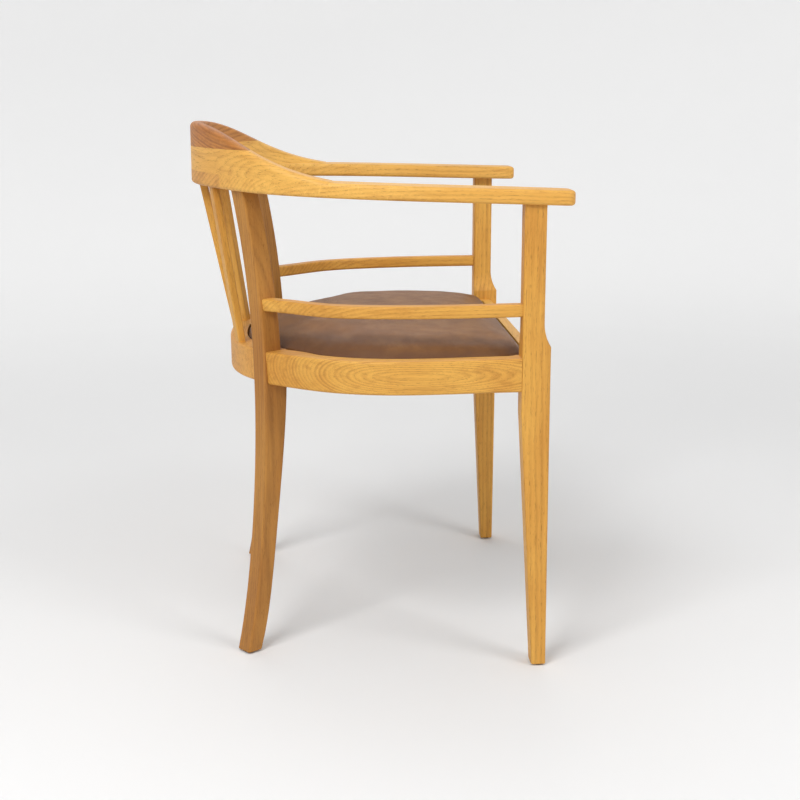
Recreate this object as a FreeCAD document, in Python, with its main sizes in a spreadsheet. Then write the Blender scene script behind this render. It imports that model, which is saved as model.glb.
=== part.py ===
import FreeCAD, Part
import math
import os
import Sketcher
from FreeCAD import Placement, Rotation, Vector

# Captains chair: oak frame with a continuous arm bow, laminated crest, three back slats
# and a drop-in leather seat. Millimetres, +Z up, the sitter looks along -Y.
# Left is the sitter's left, on the +X side. Right pieces mirror the left ones.
# A length called "back" is measured from the front legs' upper front face to the rear,
# one called "half" from the middle plane of the chair.

SIZES = [
    ("chair_depth", 540, "arm tips to the rear of the bow"),
    ("arm_overhang", 38, "arm tips in front of the front legs"),
    ("seat_height", 452.2, "top of the seat rails at the front legs"),
    ("seat_fall", 0.67, "degrees that the seat falls to the rear"),
    ("rail_height", 47.7, "seat rails"),
    ("front_leg_outer", 304.6, "half width over the front legs at the arms"),
    ("front_leg_waist_outer", 303, "half width over them above the seat"),
    ("front_leg_inner", 274, "half width between them above the seat"),
    ("front_leg_depth", 30.7, "upper part along Y"),
    ("front_leg_seat_outer", 302.3, "half width over the front legs at the seat"),
    ("front_leg_seat_inner", 265.6, "half width between them at the seat"),
    ("front_leg_knee_outer", 306, "half width over them halfway down"),
    ("front_leg_knee_height", 230, "height of that place"),
    ("front_leg_waist_height", 560, "height of the place above the seat"),
    ("front_step", 9.8, "lower part in front of the upper part"),
    ("front_step_height", 468, "corner of the step"),
    ("front_step_top", 502, "upper end of the curve above the corner"),
    ("front_foot_outer", 312.4, "half width over the front feet"),
    ("front_foot_inner", 282.8, "half width between them"),
    ("front_foot_back", 11.1, "rear face of the front foot"),
    ("front_taper_top", 372, "height where the rear face starts to taper"),
    ("leg_round", 3, "edge radius of the legs"),
    ("rear_foot_half", 243, "outermost corner of the rear foot"),
    ("rear_leg_lean", 5.08, "degrees that the rear legs lean inwards"),
    ("rear_leg_turn", 38, "degrees that they are turned about Z"),
    ("rear_leg_thickness", 28.2, "rear leg along its turned X"),
    ("rear_foot_back", 421.4, "outermost corner at the foot"),
    ("rear_calf_back", 404.7, "the same corner at the calf"),
    ("rear_knee_back", 392.8, "the same corner at the knee"),
    ("rear_seat_back", 390.6, "the same corner at the seat"),
    ("rear_waist_back", 400.3, "the same corner above the seat"),
    ("rear_top_back", 421.2, "the same corner at the bow"),
    ("rear_foot_width", 24.2, "rear leg along its turned Y at the foot"),
    ("rear_calf_width", 26.6, "at the calf"),
    ("rear_knee_width", 31.3, "at the knee"),
    ("rear_seat_width", 41, "at the seat"),
    ("rear_waist_width", 31.3, "above the seat"),
    ("rear_top_width", 28.8, "at the bow"),
    ("calf_height", 110, "section of the rear leg"),
    ("knee_height", 260, "section of the rear leg"),
    ("rail_foot_height", 404, "section of the rear leg"),
    ("waist_height", 556, "section of the rear leg"),
    ("leg_top_height", 690, "section of the rear leg, cut off at the bow"),
    ("bow_underside", 665.3, "underside of the arms at the front legs"),
    ("bow_rise", 1.6, "degrees that the bow rises to the rear"),
    ("bow_thickness", 20.8, "arms and lower layer of the bow"),
    ("bow_tip_half", 316.5, "outer edge at the arm tips"),
    ("bow_front_half", 309.7, "outer edge over the front of the seat"),
    ("bow_front_back", 60, "its distance back"),
    ("bow_elbow_half", 302.4, "outer edge at the elbows"),
    ("bow_elbow_back", 178, "its distance back"),
    ("bow_turn_half", 277, "outer edge where the bow turns in"),
    ("bow_turn_back", 300, "its distance back"),
    ("bow_quarter_half", 225, "outer edge at the rear legs"),
    ("bow_quarter_back", 395, "its distance back"),
    ("bow_back_half", 150, "outer edge behind the rear legs"),
    ("bow_back_back", 451, "its distance back"),
    ("arm_tip_width", 53, "arm at its tip"),
    ("arm_width", 61.5, "arm at the elbow"),
    ("bow_width", 57.5, "bow behind the sitter"),
    ("tip_round", 13, "plan radius of the arm tips"),
    ("bow_round", 5, "edge radius of arms and bow"),
    ("crest_start_back", 262, "front end of the crest, inside the arm"),
    ("crest_start_height", 690.4, "its height, inside the arm"),
    ("crest_foot_back", 300, "low end of the crest on the arm"),
    ("crest_foot_height", 696.8, "its height"),
    ("crest_tip_back", 291, "blunt front ends of the crest"),
    ("crest_low_back", 346, "lower slope of the crest"),
    ("crest_low_height", 708.5, "its height"),
    ("crest_middle_back", 406, "middle of the slope"),
    ("crest_joint_height", 735, "glue line between the crest blocks"),
    ("crest_high_back", 452, "upper slope of the crest"),
    ("crest_high_height", 759.5, "its height"),
    ("crest_crown_back", 482, "rear end of the slope"),
    ("crest_crown_height", 769.4, "its height"),
    ("crest_height", 770.3, "top of the crest"),
    ("crest_bottom", 683, "foot of the crest, inside the bow"),
    ("crest_base_width", 52, "crest on the bow"),
    ("crest_joint_width", 31, "crest at the glue line"),
    ("crest_top_width", 17, "crest at its top"),
    ("crest_round", 4.5, "edge radius of the crest on the sitter's side"),
    ("crest_outer_round", 8, "its edge radius on the outer side"),
    ("crest_setback", 0.04, "crest's outer face before it is joined to the bow"),
    ("butt_half", 148, "butt joint of the bow on its outer edge"),
    ("butt_back", 452, "its distance back"),
    ("butt_turn", 31.4, "degrees that the butt joint is turned"),
    ("side_front_half", 302, "outer face of the side rail at the front leg"),
    ("side_middle_half", 303.7, "its widest place"),
    ("side_middle_back", 125, "its distance back"),
    ("side_waist_half", 299, "place where it turns in"),
    ("side_waist_back", 225, "its distance back"),
    ("side_turn_half", 271, "middle of the turn"),
    ("side_turn_back", 301, "its distance back"),
    ("side_quarter_half", 234, "end of the turn"),
    ("side_quarter_back", 351, "its distance back"),
    ("side_end_half", 199, "end inside the rear leg"),
    ("side_end_back", 392, "its distance back"),
    ("side_width", 36, "side rail with its rabbet"),
    ("side_rim", 25, "side rail beside the cushion"),
    ("front_width", 27, "front rail with its rabbet"),
    ("front_rim", 16.5, "front rail in front of the cushion"),
    ("rear_rail_back", 448, "outer face of the rear rail in the middle"),
    ("rear_side_half", 110, "outer face nearer the rear legs"),
    ("rear_side_back", 434.8, "its distance back"),
    ("rear_end_half", 183, "end inside the rear leg"),
    ("rear_end_back", 396, "its distance back"),
    ("rear_width", 36, "rear rail with its rabbet"),
    ("rear_rim", 26, "rear rail behind the cushion"),
    ("rabbet_depth", 13, "rabbet that carries the seat"),
    ("rail_round", 3.5, "edge radius of the seat rails"),
    ("arm_rail_underside", 510.6, "rail between seat and arm, at the front leg"),
    ("arm_rail_height", 17.8, "that rail"),
    ("arm_rail_width", 21.3, "that rail"),
    ("arm_rail_round", 3.5, "its edge radius"),
    ("arm_rail_front_half", 298.8, "its outer face at the front leg"),
    ("arm_rail_middle_half", 301, "its widest place"),
    ("arm_rail_middle_back", 100, "its distance back"),
    ("arm_rail_waist_half", 293.5, "place where it turns in"),
    ("arm_rail_waist_back", 215, "its distance back"),
    ("arm_rail_turn_half", 263, "middle of the turn"),
    ("arm_rail_turn_back", 308, "its distance back"),
    ("arm_rail_quarter_half", 226, "end of the turn"),
    ("arm_rail_quarter_back", 352, "its distance back"),
    ("arm_rail_end_half", 190, "end inside the rear leg"),
    ("arm_rail_end_back", 398, "its distance back"),
    ("slat_width", 22, "back slat"),
    ("slat_thickness", 11, "back slat"),
    ("slat_round", 2.5, "its edge radius"),
    ("slat_tenon", 12, "slat let into the rail and the bow"),
    ("slat_half", 102.5, "outer slats"),
    ("slat_turn", 17, "degrees that the outer slats are turned"),
    ("slat_foot_inset", 18.4, "outer slats, in front of the rear rail's outer face"),
    ("slat_top_inset", 41.2, "outer slats, in front of the rear of the bow"),
    ("middle_foot_inset", 10.5, "middle slat, in front of the rear rail's outer face"),
    ("middle_top_inset", 19.5, "middle slat, in front of the rear of the bow"),
    ("slat_trim", 8, "slat before it is cut to the slope of the bow"),
    ("seat_gap", 0.7, "cushion to the rails around it"),
    ("front_clip_half", 252, "front edge of the cushion ends here"),
    ("front_clip_back", 46, "side edge of the cushion starts here"),
    ("rear_clip_gap", 3, "clipped rear corner of the cushion to the rear leg"),
    ("cushion_corner", 24, "plan radius of the cushion's corners"),
    ("cushion_crown", 33, "cushion above the rails in its middle"),
    ("crown_radius", 2600, "curvature of its top"),
    ("crown_back", 215, "middle of its top"),
    ("cushion_round", 36, "width of the rolled edge of its top"),
    ("cushion_shoulder_drop", 10, "upper end of the rolled edge below its middle"),
    ("cushion_draw", 2.5, "sides drawn in at the foot"),
    ("cushion_foot", 10, "height of the drawn-in part"),
    ("board_thickness", 10, "plywood board of the seat"),
    ("leather_thickness", 1.6, "cover"),
    ("leather_fold", 26, "cover folded under the board"),
    ("dust_cover_thickness", 0.8, "cloth under the board"),
    ("dust_cover_margin", 14, "cloth inside the edge of the cushion"),
    ("dowel_diameter", 10, "dowels of the seat rails"),
    ("dowel_length", 38, "dowels of the seat rails"),
    ("rear_dowel_diameter", 8, "dowels of the rear rail and the arm rails"),
    ("rear_dowel_length", 32, "dowels of the rear rail and the arm rails"),
    ("upper_dowel_drop", 15, "upper dowel below the rail's top"),
    ("lower_dowel_drop", 35, "lower dowel below the rail's top"),
    ("side_dowel_half", 290.8, "dowels of the side rail in the front leg"),
    ("side_dowel_inset", 13, "dowels of the side rail, in from the rear leg's corner"),
    ("rear_dowel_inset", 30, "dowels of the rear rail, in from the rear leg's corner"),
    ("arm_dowel_inset", 14, "dowel of the arm rail, in from the rear leg's corner"),
    ("arm_dowel_back", 396.6, "rear leg's outermost corner at the arm rail"),
    ("leg_dowel_diameter", 12, "dowels of legs and arms"),
    ("leg_dowel_length", 34, "dowels of legs and arms"),
    ("leg_dowel_bite", 13, "part of it inside the arm"),
    ("tenon_length", 34, "loose tenon of the bow"),
    ("tenon_width", 30, "loose tenon of the bow"),
    ("tenon_thickness", 6, "loose tenon of the bow"),
    ("block_height", 22, "corner block"),
    ("block_drop", 1, "corner block below the seat"),
    ("front_block_depth", 37, "front corner block, corner to inner face"),
    ("front_block_width", 74, "front corner block, inner face"),
    ("rear_block_depth", 22, "rear corner block, leg to inner face"),
    ("rear_block_width", 104, "rear corner block, inner face"),
    ("block_bite", 5, "rear block before it is fitted to leg and rails"),
    ("screw_diameter", 4, "wood screw"),
    ("screw_head", 8, "its countersunk head"),
    ("screw_head_height", 2.6, "its countersunk head"),
    ("block_screw_length", 40, "corner block to rail"),
    ("front_screw_half", 18, "its distance from the block's middle"),
    ("rear_screw_half", 38, "its distance from the block's middle"),
    ("seat_screw_length", 30, "corner block to seat board"),
    ("seat_screw_inset", 11, "its distance from the block's inner face"),
    ("glide_diameter", 17, "foot glide"),
    ("glide_thickness", 3, "foot glide"),
    ("nail_diameter", 2.5, "nail of the glide"),
    ("nail_length", 14, "nail of the glide"),
]

document = FreeCAD.newDocument("captains_chair")
sheet = document.addObject("Spreadsheet::Sheet", "sizes")
for row, (alias, value, note) in enumerate(SIZES, 1):
    sheet.set("A%d" % row, alias)
    sheet.set("B%d" % row, str(value))
    sheet.set("C%d" % row, note)
    sheet.setAlias("B%d" % row, alias)
document.recompute()

SIDEWAYS = Vector(1, 0, 0)
UP = Vector(0, 0, 1)
ORIGIN = Vector(0, 0, 0)
FAR = 900
CLEAR = 9
TINY = 0.01
CORNER_DRAW = 1.4
ends = {"left": 1, "right": -1}


def size(name):
    return float(getattr(sheet, name))


MIDDLE = size("chair_depth") / 2 - size("arm_overhang")
SEAT_TOP = size("seat_height")


def at(half, back, height=0.0):
    return Vector(half, back - MIDDLE, height)


def place(prefix, height=0.0):
    return at(size(prefix + "_half"), size(prefix + "_back"), height)


TILT = Placement(ORIGIN, Rotation(SIDEWAYS, -size("seat_fall")), at(0, 0, SEAT_TOP))


def tilted(shape):
    turned = shape.copy()
    turned.Placement = TILT.multiply(turned.Placement)
    return turned


def mirrored(shape):
    return shape.mirror(ORIGIN, SIDEWAYS)


def both(point, side):
    return Vector(point.x * side, point.y, point.z)


def cut(shape, *tools):
    for tool in tools:
        shape = shape.cut(tool)
    return shape


def node(label, shape):
    piece = document.addObject("Part::Feature", label)
    piece.Label = label
    piece.Shape = shape
    piece.Placement = shape.Placement
    return piece


def smooth(points):
    curve = Part.BSplineCurve()
    curve.interpolate(points)
    return curve


def beside(curve, points, widths):
    """Set points of a curve in to its inner side."""
    inner = []
    for point, width in zip(points, widths):
        along = curve.tangent(curve.parameter(point))[0]
        inner.append(point + Vector(-along.y, along.x, 0) * width)
    return inner


def strip(outer, inner, height):
    sides = [outer.toShape(), inner.toShape(),
             Part.makeLine(outer.StartPoint, inner.StartPoint),
             Part.makeLine(outer.EndPoint, inner.EndPoint)]
    return Part.Face(Part.Wire(Part.__sortEdges__(sides))).extrude(UP * height)


def block(low, high):
    return Part.makeBox(high.x - low.x, high.y - low.y, high.z - low.z, low)


def slope_block(back, height, turn, thickness):
    """A wide slab whose lower face rises to the rear through one point."""
    slab = block(at(-FAR, back - FAR, height), at(FAR, back + FAR, height + thickness))
    slab.rotate(at(0, back, height), SIDEWAYS, turn)
    return slab


def rounded(shape, radius, wanted):
    return shape.makeFillet(radius, [edge for edge in shape.Edges if wanted(edge)])


def upright(edge):
    box = edge.BoundBox
    return max(box.XLength, box.YLength) < TINY


# Dowels, screws and glides: primitives bound to the sheet.

def rod(name, middle, direction, diameter, length):
    """A cylinder centred on a point."""
    cylinder = document.addObject("Part::Cylinder", name)
    cylinder.setExpression("Radius", "sizes.%s / 2" % diameter)
    cylinder.setExpression("Height", "sizes." + length)
    turn = Rotation(UP, direction)
    start = middle - direction.normalize() * (size(length) / 2)
    cylinder.Placement = Placement(start, turn)
    return cylinder


def group(label, members):
    whole = document.addObject("Part::Compound", label)
    whole.Label = label
    whole.Links = members
    document.recompute()
    return whole


TURN = math.radians(size("rear_leg_turn"))
LEG_OUT = Vector(math.cos(TURN), -math.sin(TURN), 0)
LEG_IN = Vector(-math.sin(TURN), -math.cos(TURN), 0)


def rear_corner(height, back):
    lean = math.tan(math.radians(size("rear_leg_lean")))
    return at(size("rear_foot_half") - height * lean, back, height)


def rear_section(height, back, start, width, near, far):
    """Rectangle in the leg's own turned axes, from its outermost corner."""
    corner = rear_corner(height, back)
    first = corner - LEG_OUT * near + LEG_IN * start
    across = LEG_OUT * (near - far)
    along = LEG_IN * (width - start)
    return Part.makePolygon([first, first + across, first + across + along, first + along, first])


# Arms and bow: one ring between two sloping planes, parted at the butt joints.

TIP = at(size("bow_tip_half"), -size("arm_overhang"))
OUTLINE_NAMES = ["bow_front", "bow_elbow", "bow_turn", "bow_quarter", "bow_back"]
HALF_OUTLINE = [TIP] + [place(name) for name in OUTLINE_NAMES]
OUTLINE = HALF_OUTLINE + [at(0, size("chair_depth") - size("arm_overhang"))]
OUTLINE += [Vector(-point.x, point.y, 0) for point in reversed(HALF_OUTLINE)]
OUTER = smooth(OUTLINE)


def inner_edge(tip, arm, rear):
    """Inner side of the ring, which ends level with the outer side at the arm tips."""
    half = [tip, arm, arm, (arm + rear) / 2, rear, rear]
    points = beside(OUTER, OUTLINE, half + [rear] + half[::-1])
    points[0] = TIP - SIDEWAYS * tip
    points[-1] = both(points[0], -1)
    return smooth(points)


def raised(curve, height):
    moved = curve.copy()
    moved.translate(UP * height)
    return moved


def risen(shape):
    """Slope a level piece up to the rear, keeping its upright faces upright."""
    slope = math.tan(math.radians(size("bow_rise")))
    shear = FreeCAD.Matrix()
    shear.A32 = slope
    shear.A34 = slope * MIDDLE
    return shape.transformGeometry(shear)


base = size("bow_underside")
inner = inner_edge(size("arm_tip_width"), size("arm_width"), size("bow_width"))
ring = strip(raised(OUTER, base), raised(inner, base), size("bow_thickness"))
tip_end = at(0, 0).y
ring = rounded(ring, size("tip_round"), lambda edge: upright(edge) and edge.BoundBox.YMax < tip_end)
ring = rounded(ring, size("bow_round"), lambda edge: not upright(edge))
ring = risen(ring)

# Crest: rises out of the ring, hollowed on the sitter's side.

crest_bottom = size("crest_bottom")
bow_rear = size("chair_depth") - size("arm_overhang")
crest_end = bow_rear + CLEAR
profile_points = [at(0, size("crest_start_back"), size("crest_start_height")),
                  at(0, size("crest_foot_back"), size("crest_foot_height")),
                  at(0, size("crest_low_back"), size("crest_low_height")),
                  at(0, size("crest_middle_back"), size("crest_joint_height")),
                  at(0, size("crest_high_back"), size("crest_high_height")),
                  at(0, size("crest_crown_back"), size("crest_crown_height")),
                  at(0, crest_end, size("crest_height"))]
profile = smooth(profile_points).toShape()
rear_foot = at(0, crest_end, crest_bottom)
front_foot = at(0, size("crest_start_back"), crest_bottom)
profile_wire = Part.Wire([profile, Part.makeLine(profile_points[-1], rear_foot),
                          Part.makeLine(rear_foot, front_foot),
                          Part.makeLine(front_foot, profile_points[0])])
side_view = Part.Face(profile_wire).extrude(SIDEWAYS * 2 * FAR)
side_view.translate(SIDEWAYS * -FAR)
crest_base = size("crest_base_width")
crest_outer = smooth(beside(OUTER, OUTLINE, [size("crest_setback")] * len(OUTLINE)))
crest_inner = inner_edge(crest_base, crest_base, crest_base)
crest = strip(raised(crest_outer, crest_bottom), raised(crest_inner, crest_bottom), FAR)
crest = crest.common(side_view)


def hollow_section(height, width):
    curve = raised(inner_edge(width, width, width), height)
    chord = Part.makeLine(curve.EndPoint, curve.StartPoint)
    return Part.Wire([curve.toShape(), chord])


base_height = size("crest_start_height") + size("crest_round")
rise = size("crest_joint_height") - base_height
narrowing = crest_base - size("crest_joint_width")
hollow_top = size("crest_height") + 2
hollow = Part.makeLoft([hollow_section(base_height - rise / 2, crest_base + narrowing / 2),
                        hollow_section(base_height, crest_base),
                        hollow_section(size("crest_joint_height"), size("crest_joint_width")),
                        hollow_section(hollow_top, size("crest_top_width"))], True, False)
crest = crest.cut(hollow)
crest_middle_line = at(0, bow_rear - size("crest_top_width") + 1).y


def crest_edge(edge, outer):
    box = edge.BoundBox
    along = box.ZLength > rise and box.XLength > size("bow_back_half")
    return along and (box.YMax > crest_middle_line) == outer


crest = rounded(crest, size("crest_outer_round"), lambda edge: crest_edge(edge, True))
crest = rounded(crest, size("crest_round"), lambda edge: crest_edge(edge, False))
bow = ring.fuse(crest)

above_layer = slope_block(0, size("bow_underside"), size("bow_rise"), FAR)
above_layer.translate(UP * size("bow_thickness"))
crest_tip = at(0, size("crest_tip_back")).y
crest = bow.common(above_layer).common(block(Vector(-FAR, crest_tip, 0), Vector(FAR, FAR, FAR)))
lower = bow.cut(above_layer)
above_joint = block(at(-FAR, -FAR, size("crest_joint_height")), at(FAR, FAR, FAR))
crest_middle = crest.cut(above_joint)
crest_top = crest.common(above_joint)

butt = place("butt", 0)
arm_side = block(at(0, -FAR, 0), at(FAR, FAR, FAR))
arm_side.translate(butt - at(0, 0, 0))
arm_side.rotate(butt, UP, -size("butt_turn"))
arm_left = lower.common(arm_side)
arm_right = lower.common(mirrored(arm_side))
back_bow = cut(lower, arm_side, mirrored(arm_side))
above_underside = slope_block(0, size("bow_underside"), size("bow_rise"), FAR)

# Front legs: side view times front view.

leg_top = size("leg_top_height")
glide = size("glide_thickness")
depth = size("front_leg_depth")
step = size("front_step")
step_height = size("front_step_height")
step_top = size("front_step_top")


def step_curve(corner, top):
    """Arc from the step's corner up to the leg's upright face, which it meets flush."""
    outward = Vector(corner.x - top.x, corner.y - top.y, 0)
    run = outward.Length
    drop = top.z - corner.z
    radius = (run ** 2 + drop ** 2) / (2 * run)
    half_turn = math.asin(drop / radius) / 2
    middle = top + outward.normalize() * (radius - radius * math.cos(half_turn))
    middle -= UP * (radius * math.sin(half_turn))
    return Part.Arc(corner, middle, top).toShape()


side_points = [at(0, 0, step_top), at(0, 0, leg_top), at(0, depth, leg_top),
               at(0, depth, size("front_taper_top")), at(0, size("front_foot_back"), glide),
               at(0, -step, glide), at(0, -step, step_height)]
side_edges = Part.makePolygon(side_points).Edges
side_edges.append(step_curve(side_points[-1], side_points[0]))
front_side = Part.Face(Part.Wire(side_edges)).extrude(SIDEWAYS * FAR)

outer_face = smooth([at(size("front_leg_outer"), 0, leg_top),
                     at(size("front_leg_waist_outer"), 0, size("front_leg_waist_height")),
                     at(size("front_leg_seat_outer"), 0, SEAT_TOP),
                     at(size("front_leg_knee_outer"), 0, size("front_leg_knee_height")),
                     at(size("front_foot_outer"), 0, glide)])
inner_points = [at(size("front_foot_outer"), 0, glide), at(size("front_foot_inner"), 0, glide),
                at(size("front_leg_seat_inner"), 0, size("rail_foot_height")),
                at(size("front_leg_seat_inner"), 0, step_height)]
upper_points = [at(size("front_leg_inner"), 0, step_top), at(size("front_leg_inner"), 0, leg_top),
                at(size("front_leg_outer"), 0, leg_top)]
front_edges = [outer_face.toShape()] + Part.makePolygon(inner_points).Edges
front_edges.append(step_curve(inner_points[-1], upper_points[0]))
front_edges += Part.makePolygon(upper_points).Edges
front_view = Part.Face(Part.Wire(front_edges)).extrude(Vector(0, FAR, 0))
front_view.translate(Vector(0, -FAR / 2, 0))
front_leg_blank = front_side.common(front_view)


def lengthwise(edge):
    box = edge.BoundBox
    return min(box.ZLength, depth) > max(box.XLength, box.YLength)


front_leg = rounded(front_leg_blank, size("leg_round"), lengthwise)

# Rear legs: a loft through turned rectangles, narrowed above the seat.

rear_heights = [glide, size("calf_height"), size("knee_height"), size("rail_foot_height"),
                size("waist_height"), leg_top]
rear_backs = [size("rear_%s_back" % name) for name in ("foot", "calf", "knee", "seat", "waist", "top")]
rear_widths = [size("rear_%s_width" % name) for name in ("foot", "calf", "knee", "seat", "seat", "seat")]
thick = size("rear_leg_thickness")
rear_leg_blank = Part.makeLoft([rear_section(height, back, 0, width, 0, thick)
                                for height, back, width in zip(rear_heights, rear_backs, rear_widths)],
                               True, False)
notch_height = SEAT_TOP - size("rear_seat_back") * math.tan(math.radians(size("seat_fall")))
notch_levels = [(notch_height, size("rear_seat_back"), size("rear_waist_width")),
                (size("waist_height"), size("rear_waist_back"), size("rear_waist_width")),
                (leg_top + 1, size("rear_top_back"), size("rear_top_width"))]
notch = Part.makeLoft([rear_section(height, back, width, size("rear_seat_width") + CLEAR, -CLEAR,
                                    thick + CLEAR) for height, back, width in notch_levels], True, False)
rear_leg = rounded(rear_leg_blank.cut(notch), size("leg_round"),
                   lambda edge: edge.BoundBox.ZLength > size("rear_seat_width"))

# Rails.

behind_leg = block(at(-FAR, depth, 0), at(FAR, FAR, FAR))
rail_height = size("rail_height")


def curved_rail(prefix, names, width, bottom, height, radius):
    points = [at(size(prefix + "_front_half"), depth / 2)]
    points += [place(prefix + "_" + name) for name in names]
    curve = smooth(points)
    inner_side = smooth(beside(curve, points, [width] * len(points)))
    bar = strip(raised(curve, bottom), raised(inner_side, bottom), height)
    return rounded(bar, radius, lambda edge: edge.BoundBox.YLength > size("side_waist_back"))


side_rail = curved_rail("side", ["middle", "waist", "turn", "quarter", "end"], size("side_width"),
                        SEAT_TOP - rail_height, rail_height, size("rail_round"))
arm_rail = curved_rail("arm_rail", ["middle", "waist", "turn", "quarter", "end"],
                       size("arm_rail_width"), size("arm_rail_underside"), size("arm_rail_height"),
                       size("arm_rail_round"))

rear_half = [at(size("rear_end_half"), size("rear_end_back")),
             at(size("rear_side_half"), size("rear_side_back"))]
rear_points = rear_half + [at(0, size("rear_rail_back"))]
rear_points += [Vector(-point.x, point.y, 0) for point in reversed(rear_half)]
rear_curve = smooth(rear_points)
rear_inner = smooth(beside(rear_curve, rear_points, [size("rear_width")] * len(rear_points)))
rail_bottom = SEAT_TOP - rail_height
rear_rail = strip(raised(rear_curve, rail_bottom), raised(rear_inner, rail_bottom), rail_height)
rear_rail = rounded(rear_rail, size("rail_round"),
                    lambda edge: edge.BoundBox.XLength > size("rear_side_half"))

front_half = size("front_leg_seat_inner")
front_rail = block(at(-front_half, 0, rail_bottom), at(front_half, size("front_width"), SEAT_TOP))
front_rail = rounded(front_rail, size("rail_round"), lambda edge: edge.BoundBox.XLength > front_half
                     and edge.BoundBox.YMax < at(0, size("rail_round")).y)


# Cushion: its plan, also the pocket in the rails.

def rim(prefix, names, start, width):
    points = [at(size(prefix + "_front_half"), start)] + [place(prefix + "_" + name) for name in names]
    curve = smooth(points)
    return smooth(beside(curve, points, [width] * len(points)))


def cushion_prism(inset, low, high):
    gap = size("seat_gap") + inset
    left = rim("side", ["middle", "waist", "turn", "quarter", "end"], depth / 2, size("side_rim") + gap)
    left = raised(left, low)
    rear_point = Vector(left.EndPoint.x, at(0, size("rear_rail_back")).y, low)
    opposite = [Vector(-point.x, point.y, low) for point in (rear_point, left.EndPoint)]
    right = mirrored(left.toShape())
    edges = [left.toShape()] + Part.makePolygon([left.EndPoint, rear_point] + opposite).Edges
    edges += [right, Part.makeLine(left.StartPoint, Vector(-left.StartPoint.x, left.StartPoint.y, low))]
    prism = Part.Face(Part.Wire(Part.__sortEdges__(edges))).extrude(UP * (high - low))
    rear = smooth(beside(rear_curve, rear_points, [size("rear_rim") + gap] * len(rear_points)))
    rear = raised(rear, low)
    wide = [Vector(-FAR, rear.EndPoint.y, low), at(-FAR, 0, low), at(FAR, 0, low),
            Vector(FAR, rear.StartPoint.y, low)]
    edges = [rear.toShape()]
    edges += Part.makePolygon([rear.EndPoint] + wide + [rear.StartPoint]).Edges
    prism = prism.common(Part.Face(Part.Wire(edges)).extrude(UP * (high - low)))
    prism = prism.cut(block(at(-FAR, -FAR, 0), at(FAR, size("front_rim") + gap, FAR)))
    front_end = at(size("front_clip_half"), size("front_rim"))
    side_end = at(size("side_front_half") - size("side_rim"), size("front_clip_back"))
    clip = (side_end - front_end).normalize()
    corner = rear_corner(SEAT_TOP, size("rear_seat_back")) + LEG_IN * size("rear_seat_width")
    clips = [(front_end, Vector(clip.y, -clip.x, 0), size("seat_gap") + inset * CORNER_DRAW),
             (corner, LEG_IN * -1, size("rear_clip_gap") + inset * CORNER_DRAW)]
    for point, outward, distance in clips:
        outside = block(Vector(0, -FAR, 0), Vector(FAR, FAR, FAR))
        outside.Placement = Placement(Vector(point.x, point.y, 0) - outward * distance,
                                      Rotation(SIDEWAYS, outward))
        prism = cut(prism, outside, mirrored(outside))
    return rounded(prism, size("cushion_corner"), upright)


seat_level = SEAT_TOP - size("rabbet_depth")
board_bottom = seat_level + size("leather_thickness")
board_top = board_bottom + size("board_thickness")


def bottom_wire(shape):
    lowest = min(shape.Faces, key=lambda face: face.CenterOfMass.z)
    return lowest.OuterWire


def crowned(inset, foot):
    """Cushion above its foot: sides that round over into a shallow dome."""
    top = SEAT_TOP + size("cushion_crown") - inset
    shoulder = top - size("cushion_shoulder_drop")
    levels = [(foot, 0)]
    for turn in (30, 50, 70, 90):
        level = foot + (shoulder - foot) * math.sin(math.radians(turn))
        levels.append((level, size("cushion_round") * (1 - math.cos(math.radians(turn)))))
    wires = [bottom_wire(cushion_prism(inset + shrink, level, level + 1)) for level, shrink in levels]
    lid = wires[-1].copy()
    lid.scale(0.7, at(0, size("crown_back"), shoulder))
    lid.translate(UP * (top + CLEAR - shoulder))
    wires.append(lid)
    radius = size("crown_radius")
    ball = Part.makeSphere(radius, at(0, size("crown_back"), top - radius))
    return Part.makeLoft(wires, True, True).common(ball)


leather = size("leather_thickness")
foot_top = seat_level + size("cushion_foot")
seat_form = crowned(0, foot_top)
drawn = cushion_prism(size("cushion_draw"), seat_level, seat_level + 1)
full = cushion_prism(0, foot_top, foot_top + 1)
foot_form = Part.makeLoft([bottom_wire(drawn), bottom_wire(full)], True, True)
seat_form = seat_form.fuse(foot_form)
board = cushion_prism(size("cushion_draw") + leather, board_bottom, board_top)
foam = crowned(leather, foot_top + leather)
foam = foam.cut(board)
opening = cushion_prism(size("leather_fold"), seat_level - 1, board_bottom)
cover = cut(seat_form, board, foam, opening)
dust_cover = cushion_prism(size("dust_cover_margin"), seat_level - size("dust_cover_thickness"),
                           seat_level)
pocket = cushion_prism(-size("seat_gap"), seat_level, SEAT_TOP + CLEAR)

front_rail = tilted(front_rail.cut(pocket))
side_rail = tilted(side_rail.cut(pocket)).common(behind_leg).cut(rear_leg_blank)
rear_rail = cut(tilted(rear_rail.cut(pocket)), rear_leg_blank, mirrored(rear_leg_blank))
narrow_leg = rear_leg_blank.cut(notch)
arm_rail = tilted(arm_rail).common(behind_leg).cut(narrow_leg)

# Back slats, let into rail and bow.


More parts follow.
